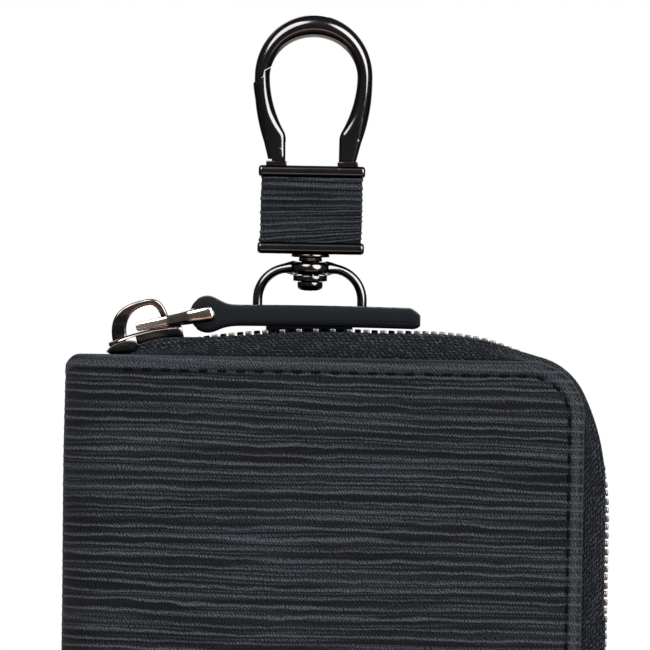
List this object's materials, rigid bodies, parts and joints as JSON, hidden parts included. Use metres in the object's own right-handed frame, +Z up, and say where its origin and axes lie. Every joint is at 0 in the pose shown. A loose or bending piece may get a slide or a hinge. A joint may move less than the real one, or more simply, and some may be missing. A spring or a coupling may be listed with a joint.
{
  "type": "key case",
  "caption": "Zip-around leather key case with embossed ripple grain, hung from a leather-wrapped spring snap hook with a swivel and D-ring; key hooks and a card pocket inside.",
  "frame": {"origin": "inner top of the snap hook's bow, where the case hangs", "axes": "+Z up; +X to the right seen from the front; the front face looks along -Y"},
  "size_m": [0.0815, 0.0259, 0.1658],
  "materials": {
    "gunmetal": "polished black nickel plate on cast zinc",
    "zip_metal": "polished gunmetal plate",
    "nickel": "bright nickel plate",
    "spring_steel": "bare spring steel",
    "leather": "black cowhide embossed with a horizontal ripple",
    "inner_leather": "smooth black leather",
    "pull_leather": "smooth slate grey painted edge",
    "lining": "black woven lining",
    "zip_tape": "black woven zip tape",
    "sealed_tape": "tape ends sealed with glossy black resin",
    "board": "grey fibre board"
  },
  "bodies": {
    "hook": {"hook_bow": "gunmetal", "gate_pin": "gunmetal", "gate_spring": "spring_steel", "hook_frame": "gunmetal", "wrap_leather": "leather", "swivel_post": "gunmetal", "swivel_washer": "gunmetal"},
    "gate": {"hook_gate": "gunmetal"},
    "ring": {"d_ring": "gunmetal"},
    "case": {"hanger_tab": "leather", "back_cover": "leather", "back_board": "board", "back_lining": "lining", "zip_tape_back": "zip_tape", "zip_teeth_back": "zip_metal", "zip_ends_back": "sealed_tape", "key_plate": "nickel", "key_plate_rivets": "nickel"},
    "spine": {"spine_cover": "leather", "spine_lining": "lining"},
    "front": {"front_cover": "leather", "front_board": "board", "front_lining": "lining", "card_pocket": "inner_leather", "zip_tape_front": "zip_tape", "zip_teeth_front": "zip_metal", "zip_ends_front": "sealed_tape"},
    "slider": {"slider_body": "zip_metal", "slider_bridge": "zip_metal"},
    "link": {"pull_link": "zip_metal"},
    "puller": {"pull_leather": "pull_leather"},
    "key_hook_1": {"key_hook_1": "nickel"},
    "key_tongue_1": {"key_tongue_1": "spring_steel"},
    "key_hook_2": {"key_hook_2": "nickel"},
    "key_tongue_2": {"key_tongue_2": "spring_steel"},
    "key_hook_3": {"key_hook_3": "nickel"},
    "key_tongue_3": {"key_tongue_3": "spring_steel"},
    "key_hook_4": {"key_hook_4": "nickel"},
    "key_tongue_4": {"key_tongue_4": "spring_steel"},
    "key_hook_5": {"key_hook_5": "nickel"},
    "key_tongue_5": {"key_tongue_5": "spring_steel"},
    "key_hook_6": {"key_hook_6": "nickel"},
    "key_tongue_6": {"key_tongue_6": "spring_steel"}
  },
  "joints": [
    {"name": "gate_open", "type": "hinge", "parent": "hook", "child": "gate", "pos_m": [-0.00505, 0, -0.01706], "axis": [0, 1, 0], "range_deg": [0, 25], "stiffness_Nm_per_rad": 0.02, "springref_deg": -11.46},
    {"name": "hook_swivel", "type": "hinge", "parent": "hook", "child": "ring", "pos_m": [0, 0, -0.0424], "axis": [0, 0, 1], "continuous": true},
    {"name": "case_swing", "type": "hinge", "parent": "ring", "child": "case", "pos_m": [0, 0, -0.0424], "axis": [1, 0, 0], "range_deg": [-40, 90]},
    {"name": "cover_open", "type": "hinge", "parent": "spine", "child": "front", "pos_m": [-0.03479, -0.02154, -0.103], "axis": [0, 0, -1], "range_deg": [0, 90], "deforming": ["zip_teeth_front"]},
    {"name": "spine_turn", "type": "hinge", "parent": "case", "child": "spine", "pos_m": [-0.03479, -0.00246, -0.103], "axis": [0, 0, -1], "range_deg": [0, 90], "deforming": ["zip_teeth_front"]},
    {"name": "slider_travel", "type": "hinge", "parent": "case", "child": "slider", "pos_m": [0.0036, -0.012, -0.17167], "axis": [0, 1, 0], "range_deg": [0, 24], "deforming": ["zip_teeth_front", "zip_teeth_back"]},
    {"name": "link_lift", "type": "hinge", "parent": "slider", "child": "link", "pos_m": [-0.02572, -0.012, -0.04412], "axis": [0, -1, 0], "range_deg": [0, 90]},
    {"name": "puller_lift", "type": "hinge", "parent": "link", "child": "puller", "pos_m": [-0.01518, -0.012, -0.04178], "axis": [0, -1, 0], "range_deg": [0, 90]},
    {"name": "key_swivel_1", "type": "hinge", "parent": "case", "child": "key_hook_1", "pos_m": [-0.021, -0.00875, -0.08995], "axis": [0, 0, 1], "continuous": true},
    {"name": "tongue_1", "type": "hinge", "parent": "key_hook_1", "child": "key_tongue_1", "pos_m": [-0.02254, -0.00875, -0.06878], "axis": [0, -1, 0], "range_deg": [0, 9], "stiffness_Nm_per_rad": 0.01, "springref_deg": -5.73},
    {"name": "key_swivel_2", "type": "hinge", "parent": "case", "child": "key_hook_2", "pos_m": [-0.0116, -0.00875, -0.08995], "axis": [0, 0, 1], "continuous": true},
    {"name": "tongue_2", "type": "hinge", "parent": "key_hook_2", "child": "key_tongue_2", "pos_m": [-0.01314, -0.00875, -0.06878], "axis": [0, -1, 0], "range_deg": [0, 9], "stiffness_Nm_per_rad": 0.01, "springref_deg": -5.73},
    {"name": "key_swivel_3", "type": "hinge", "parent": "case", "child": "key_hook_3", "pos_m": [-0.0022, -0.00875, -0.08995], "axis": [0, 0, 1], "continuous": true},
    {"name": "tongue_3", "type": "hinge", "parent": "key_hook_3", "child": "key_tongue_3", "pos_m": [-0.00374, -0.00875, -0.06878], "axis": [0, -1, 0], "range_deg": [0, 9], "stiffness_Nm_per_rad": 0.01, "springref_deg": -5.73},
    {"name": "key_swivel_4", "type": "hinge", "parent": "case", "child": "key_hook_4", "pos_m": [0.0072, -0.00875, -0.08995], "axis": [0, 0, 1], "continuous": true},
    {"name": "tongue_4", "type": "hinge", "parent": "key_hook_4", "child": "key_tongue_4", "pos_m": [0.00566, -0.00875, -0.06878], "axis": [0, -1, 0], "range_deg": [0, 9], "stiffness_Nm_per_rad": 0.01, "springref_deg": -5.73},
    {"name": "key_swivel_5", "type": "hinge", "parent": "case", "child": "key_hook_5", "pos_m": [0.0166, -0.00875, -0.08995], "axis": [0, 0, 1], "continuous": true},
    {"name": "tongue_5", "type": "hinge", "parent": "key_hook_5", "child": "key_tongue_5", "pos_m": [0.01506, -0.00875, -0.06878], "axis": [0, -1, 0], "range_deg": [0, 9], "stiffness_Nm_per_rad": 0.01, "springref_deg": -5.73},
    {"name": "key_swivel_6", "type": "hinge", "parent": "case", "child": "key_hook_6", "pos_m": [0.026, -0.00875, -0.08995], "axis": [0, 0, 1], "continuous": true},
    {"name": "tongue_6", "type": "hinge", "parent": "key_hook_6", "child": "key_tongue_6", "pos_m": [0.02446, -0.00875, -0.06878], "axis": [0, -1, 0], "range_deg": [0, 9], "stiffness_Nm_per_rad": 0.01, "springref_deg": -5.73}
  ],
  "couplings": [
    {"joint": "spine_turn", "follows": "cover_open", "ratio": 1}
  ]
}
